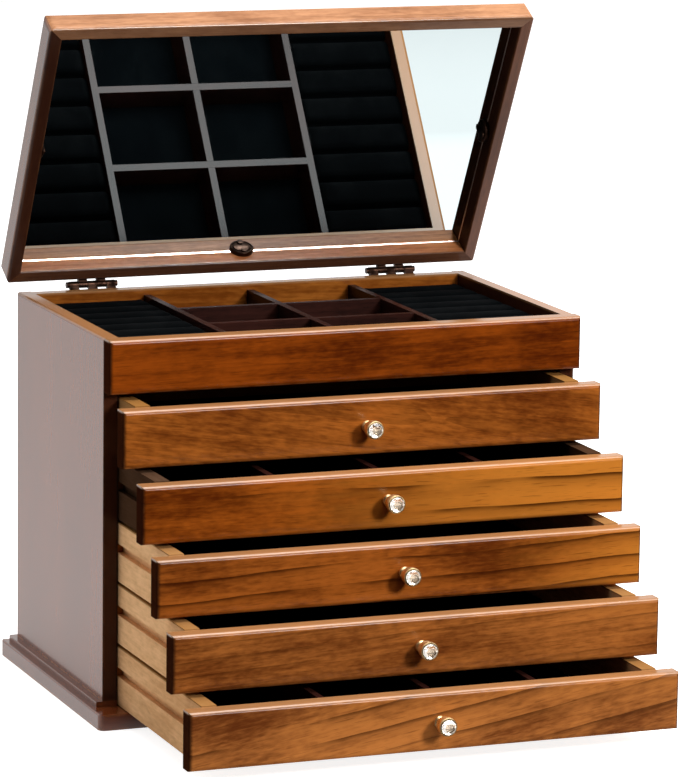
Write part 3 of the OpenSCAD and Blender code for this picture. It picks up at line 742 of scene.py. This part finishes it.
class JEWELRYCASE_OT_mirror(bpy.types.Operator):
    """Set the mirror in the lid: silvered glass with a ground edge, held by four turned clips."""

    bl_idname = "jewelry_case.mirror"
    bl_label = "Mirror and clips"

    # The lid's rails and the way from the middle of the shut lid to each
    RAILS = {
        "lid_left_stile": (-1.0, 0.0, 0.0),
        "lid_right_stile": (1.0, 0.0, 0.0),
        "lid_front_rail": (0.0, -1.0, 0.0),
        "lid_back_rail": (0.0, 1.0, 0.0),
    }

    def glass(self):
        """The pane: inside its ground edge the face lies as deep as the silver, and the rails show round
        it."""
        sizes = settings().fittings
        low, high = closed_box("lid_mirror")
        bm = bmesh.new()
        bmesh.ops.create_cube(bm, size=1.0)
        bmesh.ops.scale(bm, vec=high - low, verts=bm.verts)
        bmesh.ops.translate(bm, vec=(low + high) / 2, verts=bm.verts)
        face = min(bm.faces, key=lambda each: each.calc_center_median().z)
        edge = bmesh.ops.inset_region(
            bm, faces=[face], thickness=sizes.bevel, depth=-sizes.bevel, use_even_offset=True
        )["faces"]
        walls = bmesh.ops.inset_region(
            bm, faces=[face], thickness=0.05 * MM, depth=sizes.bevel - sizes.sink, use_even_offset=True
        )["faces"]
        bm.normal_update()
        for each in edge:
            each.material_index = 1
        for each in walls:
            facing = [Vector(way).dot(each.normal) for way in self.RAILS.values()]
            each.material_index = 2 + facing.index(min(facing))
        bmesh.ops.transform(bm, matrix=OPENED, verts=bm.verts)
        piece = finished_piece("mirror_pane", bm, mirror_glass("mirror_glass"), "lid", "mirror")
        piece.data.materials.append(ground_glass("mirror_edge"))
        for node in self.RAILS:
            piece.data.materials.append(frame["nodes"][node].data.materials[0])
        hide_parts("lid_mirror")

    def clip(self, height):
        """A round button with a grooved face, cut off flat so that its given height is left."""
        radius = settings().fittings.clip_r
        profile = [(0.0, 0.0), (radius, 0.0)]
        profile += swept(radius, (1.00, 1.8), (1.00, 2.5), (0.97, 3.0), (0.90, 3.0), 8)
        profile += swept(radius, (0.88, 3.0), (0.83, 2.9), (0.83, 2.4), (0.80, 2.4), 6)
        profile += swept(radius, (0.79, 2.4), (0.76, 2.5), (0.76, 3.0), (0.73, 3.0), 6)
        profile += [(0.0, 3.0 * MM)]
        bm = turned(profile)
        sliced(bm, (0.0, radius - height, 0.0), (0.0, 1.0, 0.0), clear_inner=True)
        return closed(bm)

    def clips(self):
        """The four clips, in the middle of each rail."""
        low, high = closed_box("mirror_clips")
        middle = (low + high) / 2
        centre_z = low.z + settings().fittings.clip_r
        # On the back rail: the axis points to the front, and the round edge away from the glass
        lying = Matrix(((-1, 0, 0), (0, 0, -1), (0, -1, 0))).to_4x4()
        places = {
            "back": (middle.x, high.y, 0.0),
            "front": (middle.x, low.y, math.pi),
            "right": (high.x, middle.y, -math.pi / 2),
            "left": (low.x, middle.y, math.pi / 2),
        }
        bronze = metal("clip_bronze", settings().fittings.bronze, 0.45, dulled=0.8)
        for side, (x, y, turn) in places.items():
            standing = Matrix.Translation((x, y, centre_z)) @ Matrix.Rotation(turn, 4, "Z") @ lying
            bm = self.clip(high.z - low.z + settings().fittings.sink)
            bmesh.ops.transform(bm, matrix=OPENED @ standing, verts=bm.verts)
            piece = finished_piece(f"mirror_clip_{side}", bm, bronze, "lid", "bronze")
            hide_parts("mirror_clips")

    def execute(self, context):
        self.glass()
        self.clips()
        return {"FINISHED"}


class JEWELRYCASE_OT_linings(bpy.types.Operator):
    """Lay the velvet linings in the tray and the drawers, swelling a little in each compartment."""

    bl_idname = "jewelry_case.linings"
    bl_label = "Linings"

    # Strip along the edges of a compartment where the velvet is glued down
    GLUED = 3.0 * MM
    # How far the velvet lies below the top of its CAD node before it swells
    SUNK = 0.1 * MM
    GRID_CUTS = (48, 30)
    TRAY_COLUMNS = 2
    TRAY_ROWS = 3
    DRAWER_COLUMNS = 4

    def lining(self, size, cell, columns):
        """Velvet over card, glued down along the edges of its compartments and all over outside them; cell
        is the size of a compartment, and columns how many lie side by side about the middle."""
        start = size.x / 2 - columns * cell.x / 2

        def glued(place):
            across = (place.x - start) % cell.x
            along = place.y % cell.y
            reach = min(across, cell.x - across, along, cell.y - along)
            outside = not 0.0 < place.x - start < columns * cell.x
            return outside or reach < self.GLUED or place.z < 0.5 * size.z

        bm = pad(size, self.GRID_CUTS, lambda x, y: size.z - self.SUNK)
        swell(bm, glued)
        return bm

    def execute(self, context):
        material = velvet("lining_velvet")
        open_drawers = [i for i in DRAWERS if i not in DRAWERS_WITH_DIVIDERS]
        tray_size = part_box("tray_lining")[1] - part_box("tray_lining")[0]
        drawer_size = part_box("drawer_1_lining")[1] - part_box("drawer_1_lining")[0]
        # Half way between the end of a cross divider and the far face of the long divider that it meets
        tray_column = (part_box("tray_cross_dividers")[1].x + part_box("tray_long_dividers")[1].x) / 2
        # Linings of one shape and their bodies, the size of a compartment and how many lie side by side;
        # outside the tray's columns the ring rolls stand on the lining
        groups = (
            ({"tray_lining": "case"}, Vector((tray_column, tray_size.y / self.TRAY_ROWS)), self.TRAY_COLUMNS),
            (
                {f"drawer_{i}_lining": f"drawer_{i}" for i in DRAWERS_WITH_DIVIDERS},
                Vector((drawer_size.x / self.DRAWER_COLUMNS, drawer_size.y)), self.DRAWER_COLUMNS,
            ),
            ({f"drawer_{i}_lining": f"drawer_{i}" for i in open_drawers}, drawer_size.xy, 1),
        )
        for bodies, cell, columns in groups:
            low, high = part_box(next(iter(bodies)))
            bm = self.lining(high - low, cell, columns)
            for node, body in bodies.items():
                set_down(f"{node}_velvet", bm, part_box(node)[0], material, body, node)
            bm.free()
        return {"FINISHED"}


class JEWELRYCASE_OT_ring_rolls(bpy.types.Operator):
    """Upholster the two pads of ring rolls, with a tight slit between each two rolls."""

    bl_idname = "jewelry_case.ring_rolls"
    bl_label = "Ring rolls"

    ROLLS = 8
    CUTS_PER_ROLL = 10
    CUTS_ALONG = 22
    END_ROUND = 3.0 * MM
    # Room between a pad and the long divider beside it
    CLEARANCE = 0.4 * MM
    # The higher this is, the flatter is a roll's crown and the narrower the slit
    CROWN_POWER = 6

    def rolls(self, size):
        """A pad of eight rolls whose ends fall away, held in its slits and at its foot while it swells."""
        pitch = size.y / self.ROLLS
        values = settings().velvet

        def from_middle(y):
            """Where a point lies on its roll: 0 on the crown, 1 in the slit."""
            return abs(2.0 * (y / pitch % 1.0) - 1.0)

        def top(x, y):
            from_end = min(1.0, min(x, size.x - x) / self.END_ROUND)
            fall = self.END_ROUND * (1.0 - math.sqrt(1.0 - (1.0 - from_end) ** 2))
            return size.z - values.slit * from_middle(y) ** self.CROWN_POWER - fall - 0.5 * values.swell

        def held(place):
            return from_middle(place.y) > 0.85 or place.z < 0.2 * size.z

        bm = pad(size, (self.CUTS_ALONG, self.CUTS_PER_ROLL * self.ROLLS), top)
        swell(bm, held)
        return bm

    def execute(self, context):
        low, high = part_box("ring_rolls")
        width = high.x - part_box("tray_long_dividers")[1].x - self.CLEARANCE
        bm = self.rolls(Vector((width, high.y - low.y, high.z - low.z)))
        # Painted shade: the rolls' velvet is darker than the linings', over crowns that the top lamp lights
        material = velvet("ring_roll_velvet", 0.4)
        for side, start in (("left", low.x), ("right", high.x - width)):
            corner = Vector((start, low.y, low.z))
            set_down(f"ring_rolls_{side}", bm, corner, material, "case", "ring_rolls")
        bm.free()
        return {"FINISHED"}


class JEWELRYCASE_OT_knobs(bpy.types.Operator):
    """Turn the five brass knobs, set a foil-backed crystal in each and screw them on from inside."""

    bl_idname = "jewelry_case.knobs"
    bl_label = "Knobs"

    # The slot of a screw's head
    HALF_SLOT = 0.4 * MM
    SLOT_DEPTH = 0.7 * MM

    def knob(self):
        """A knob standing on the XY plane: beaded foot, short neck and a bell with a seat for the crystal."""
        sizes = settings().fittings
        foot, cup = sizes.foot_r, sizes.cup_r
        neck_of_foot = sizes.neck_r / foot
        neck_of_cup = sizes.neck_r / cup
        top = sizes.knob_h / MM
        seat = sizes.knob_h - 1.6 * MM
        profile = [(0.0, 0.0), (foot, 0.0)]
        profile += swept(foot, (1.0, 0.4), (1.0, 1.0), (1.0, 1.4), (0.85, 1.5), 6)
        profile += swept(foot, (0.8, 1.6), (neck_of_foot, 2.0), (neck_of_foot, 2.6), (neck_of_foot, 3.2), 6)
        profile += swept(cup, (neck_of_cup, 3.4), (0.65, 4.0), (0.85, 5.4), (0.90, 7.4))
        profile += swept(cup, (0.905, 7.6), (0.94, 9.0), (1.0, 10.0), (1.0, top - 2.2), 8)
        profile += swept(cup, (1.0, top - 2.0), (1.0, top - 0.2), (1.0, top), (0.95, top), 6)
        profile += [(0.90 * cup, sizes.knob_h), (0.90 * cup, seat), (0.0, seat)]
        return turned(profile)

    def stone(self):
        """A round cut: flat table, kites, narrow girdle and a shallow back."""
        sizes = settings().fittings
        radius, lip = sizes.stone_r, sizes.knob_h
        bm = bmesh.new()
        # For each ring of corners: their number, share of the radius, height over the lip, and turn
        rings = (
            (8, 0.52, sizes.stone_h, 0.0),
            (8, 0.82, 0.72 * sizes.stone_h, math.pi / 8),
            (16, 1.0, 0.28 * sizes.stone_h, 0.0),
            (16, 1.0, 0.12 * sizes.stone_h, 0.0),
            (8, 0.72, -0.6 * MM, math.pi / 8),
            (8, 0.25, -1.4 * MM, 0.0),
        )
        for sides, share, height, turn in rings:
            bmesh.ops.create_circle(
                bm, segments=sides, radius=share * radius,
                matrix=Matrix.Translation((0.0, 0.0, lip + height)) @ Matrix.Rotation(turn, 4, "Z"),
            )
        bmesh.ops.convex_hull(bm, input=bm.verts)
        bmesh.ops.recalc_face_normals(bm, faces=bm.faces)
        return bm

    def foil(self):
        """A silver dish behind the crystal."""
        sizes = settings().fittings
        lip = sizes.knob_h
        dish = [
            (0.0, lip - 1.55 * MM),
            (0.28 * sizes.stone_r, lip - 1.5 * MM),
            (0.76 * sizes.stone_r, lip - 0.75 * MM),
            (0.92 * sizes.stone_r, lip + 0.1 * MM),
        ]
        return turned(dish, steps=24)

    def screw(self, thickness):
        """The screw through a front of that thickness: its slotted head lies flush in the inner face."""
        sizes = settings().fittings
        head, shank = sizes.screw_head_r, sizes.screw_r
        under = sizes.screw_head_h - thickness
        inner = -thickness / MM
        profile = [(0.0, 0.0), (shank, 0.0), (shank, under), (head, under)]
        profile += swept(head, (1.0, inner + 0.5), (1.0, inner), (0.9, inner), (0.8, inner), 6)
        profile += [(0.0, -thickness)]
        bm = turned(profile)
        for side in (-self.HALF_SLOT, self.HALF_SLOT):
            sliced(bm, (side, 0.0, 0.0), (1.0, 0.0, 0.0))
        bm.normal_update()
        slot = []
        for face in bm.faces:
            middle = face.calc_center_median()
            if abs(middle.x) < self.HALF_SLOT and middle.z < 0.01 * MM - thickness:
                slot.append(face)
        bmesh.ops.inset_region(bm, faces=slot, thickness=0.05 * MM, depth=-self.SLOT_DEPTH)
        return bm

    def execute(self, context):
        sizes = settings().fittings
        brass = metal("knob_brass", sizes.brass, 0.38, dulled=0.85)
        clear = crystal("knob_crystal")
        silver = metal("crystal_foil", sizes.silver, 0.12, dulled=0.6, scale=900.0)
        for number in DRAWERS:
            body = f"drawer_{number}"
            low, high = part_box(f"{body}_front")
            middle = Vector((0.0, low.y, (low.z + high.z) / 2))
            standing = Matrix.Translation(middle) @ Matrix.Rotation(math.pi / 2, 4, "X")
            parts = (
                ("knob", self.knob(), brass, "brass", f"{body}_knob", math.radians(40)),
                ("foil", self.foil(), silver, "mirror", f"{body}_crystal", math.radians(40)),
                ("crystal", self.stone(), clear, "crystal", f"{body}_crystal", math.radians(1)),
                ("screw", self.screw(high.y - low.y), brass, "brass", f"{body}_knob", math.radians(40)),
            )
            for name, bm, material, slot, node, sharp in parts:
                bmesh.ops.transform(bm, matrix=standing, verts=bm.verts)
                piece = finished_piece(f"{body}_{name}_cut", bm, material, body, slot, sharp)
                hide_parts(node)
        return {"FINISHED"}


class JEWELRYCASE_OT_hinges(bpy.types.Operator):
    """Finish the hinges, their screws and those of the clips in dark bronze."""

    bl_idname = "jewelry_case.hinges"
    bl_label = "Hinges"

    def execute(self, context):
        bronze = metal("dark_bronze", settings().fittings.bronze, 0.50, dulled=0.45)
        nodes = ("hinge_case_leaves", "hinge_lid_leaves", "hinge_pins", "hinge_case_screws", "lid_screws")
        for node in nodes:
            dress(node, bronze)
        return {"FINISHED"}


class JEWELRYCASE_OT_stage(bpy.types.Operator):
    """Set up the white floor, the surround, the lamps and the camera."""

    bl_idname = "jewelry_case.stage"
    bl_label = "Stage"

    # Place, target and size of each lamp
    KEY = ((0.62, -1.75, 0.92), (0.0, -0.1, 0.12), 0.35)
    TOP = ((0.30, -0.30, 1.75), (0.0, 0.0, 0.2), 1.3)
    # The floor's own grey, and how it glows for the camera and in reflections
    PAPER = (0.80, 0.80, 0.80, 1.0)
    DIRECT_GLOW = 0.85
    MIRRORED_GLOW = 0.90

    def surround(self):
        """White walls left, right, above and behind, and a dim room on the camera's side."""
        stage = settings().stage
        world = bpy.data.worlds.new("white_surround")
        world.use_nodes = True
        bpy.context.scene.world = world
        nodes = Nodes(world.node_tree)
        facing = nodes.add("ShaderNodeTexCoord").outputs["Generated"]
        depth = nodes.add("ShaderNodeSeparateXYZ", {0: facing}).outputs["Y"]
        walls = nodes.remap(depth, -0.20, 0.30, stage.dim_front, 1.0)
        path = nodes.add("ShaderNodeLightPath").outputs
        lit = nodes.math("MULTIPLY", walls, nodes.remap(path["Is Glossy Ray"], 0.0, 1.0, stage.surround, 1.0))
        seen = nodes.math("MAXIMUM", path["Is Camera Ray"], path["Is Transmission Ray"])
        strength = nodes.math("MAXIMUM", lit, seen)
        background = world.node_tree.nodes["Background"]
        background.inputs["Color"].default_value = (1.0, 1.0, 1.0, 1.0)
        world.node_tree.links.new(strength, background.inputs["Strength"])

    def floor(self):
        """A white floor that shows the shadow of the case and glows in reflections."""
        bm = bmesh.new()
        bmesh.ops.create_grid(bm, x_segments=4, y_segments=4, size=4.0)
        bmesh.ops.translate(bm, vec=(0.0, 0.0, -0.3 * MM), verts=bm.verts)
        mesh = bpy.data.meshes.new("floor")
        bm.to_mesh(mesh)
        bm.free()
        piece = placed("floor", mesh)
        nodes = Finish("white_floor")
        nodes.tree.nodes.remove(nodes.shader)
        across, depth, _ = nodes.add("ShaderNodeSeparateXYZ", {0: nodes.place}).outputs
        near = nodes.remap(depth, -0.42, -0.12, settings().stage.dim_front, 1.0)
        beside = nodes.math("MULTIPLY", near, nodes.remap(across, 0.10, 0.20, 0.0, 0.8))
        mirrored = nodes.math("MAXIMUM", beside, nodes.remap(depth, -0.14, -0.08))
        path = nodes.add("ShaderNodeLightPath").outputs
        seen = nodes.math("MAXIMUM", path["Is Camera Ray"], path["Is Transmission Ray"])
        even = nodes.remap(path["Is Glossy Ray"], 0.0, 1.0, 1.0, 0.25)
        share = nodes.math("MAXIMUM", nodes.math("MULTIPLY", near, even), seen)
        grey = nodes.mix(share, (0.0, 0.0, 0.0, 1.0), self.PAPER)
        paper = nodes.add("ShaderNodeBsdfDiffuse", {"Color": grey}).outputs[0]
        in_mirror = nodes.math("MULTIPLY", mirrored, path["Is Glossy Ray"])
        glossy = nodes.math("MULTIPLY", in_mirror, self.MIRRORED_GLOW)
        strength = nodes.math("ADD", glossy, nodes.math("MULTIPLY", seen, self.DIRECT_GLOW))
        glow = nodes.add("ShaderNodeEmission", {"Strength": strength}).outputs[0]
        surface = nodes.add("ShaderNodeAddShader", {0: paper, 1: glow}).outputs[0]
        nodes.tree.links.new(surface, nodes.tree.nodes["Material Output"].inputs["Surface"])
        nodes.material.cycles.emission_sampling = "NONE"
        mesh.materials.append(nodes.material)

    def lamp(self, name, power, place, target, size):
        """A soft square lamp that points at a target."""
        light = bpy.data.lights.new(name, "AREA")
        light.energy = power
        light.size = size
        piece = placed(name, light)
        piece.location = place
        piece.rotation_euler = (Vector(target) - Vector(place)).to_track_quat("-Z", "Y").to_euler()

    def camera(self):
        """The camera of the photograph."""
        stage = settings().stage
        data = bpy.data.cameras.new("camera")
        data.sensor_fit = "VERTICAL"
        data.sensor_height = 36.0
        data.lens = stage.lens
        data.clip_end = 50.0
        piece = placed("camera", data)
        piece.matrix_world = (
            Matrix.Translation(stage.camera)
            @ Matrix.Rotation(stage.yaw, 4, "Z")
            @ Matrix.Rotation(math.pi / 2 - stage.pitch, 4, "X")
            @ Matrix.Rotation(stage.roll, 4, "Z")
        )
        bpy.context.scene.camera = piece

    def execute(self, context):
        stage = settings().stage
        context.scene.view_settings.view_transform = "Standard"
        self.surround()
        self.floor()
        self.lamp("key_lamp", stage.key, *self.KEY)
        self.lamp("top_lamp", stage.top, *self.TOP)
        self.camera()
        return {"FINISHED"}


OPERATORS = (
    JEWELRYCASE_OT_stage,
    JEWELRYCASE_OT_casework,
    JEWELRYCASE_OT_drawers,
    JEWELRYCASE_OT_lid,
    JEWELRYCASE_OT_mirror,
    JEWELRYCASE_OT_linings,
    JEWELRYCASE_OT_ring_rolls,
    JEWELRYCASE_OT_knobs,
    JEWELRYCASE_OT_hinges,
)


class JEWELRYCASE_PT_panel(bpy.types.Panel):
    """Lists the steps and the settings of the jewelry case."""

    bl_idname = "JEWELRYCASE_PT_panel"
    bl_label = "Jewelry case"
    bl_space_type = "VIEW_3D"
    bl_region_type = "UI"
    bl_category = "Jewelry case"

    def draw(self, context):
        for operator in OPERATORS:
            self.layout.operator(operator.bl_idname)
        for group in ("wood", "velvet", "fittings", "stage"):
            values = getattr(settings(), group)
            box = self.layout.box()
            for name in values.__annotations__:
                box.prop(values, name)


CLASSES = (
    JEWELRYCASE_PG_wood,
    JEWELRYCASE_PG_velvet,
    JEWELRYCASE_PG_fittings,
    JEWELRYCASE_PG_stage,
    JEWELRYCASE_PG_settings,
    *OPERATORS,
    JEWELRYCASE_PT_panel,
)


def register():
    """Adds the classes and the scene's settings."""
    for each in CLASSES:
        bpy.utils.register_class(each)
    bpy.types.Scene.jewelry_case = bpy.props.PointerProperty(type=JEWELRYCASE_PG_settings)


def unregister():
    """Takes the classes and the scene's settings away again."""
    del bpy.types.Scene.jewelry_case
    for each in reversed(CLASSES):
        bpy.utils.unregister_class(each)


def main():
    """Builds the stage and every piece."""
    register()
    bpy.ops.jewelry_case.stage()
    bpy.ops.jewelry_case.casework()
    bpy.ops.jewelry_case.drawers()
    bpy.ops.jewelry_case.lid()
    bpy.ops.jewelry_case.mirror()
    bpy.ops.jewelry_case.linings()
    bpy.ops.jewelry_case.ring_rolls()
    bpy.ops.jewelry_case.knobs()
    bpy.ops.jewelry_case.hinges()


if __name__ == "__main__":
    main()
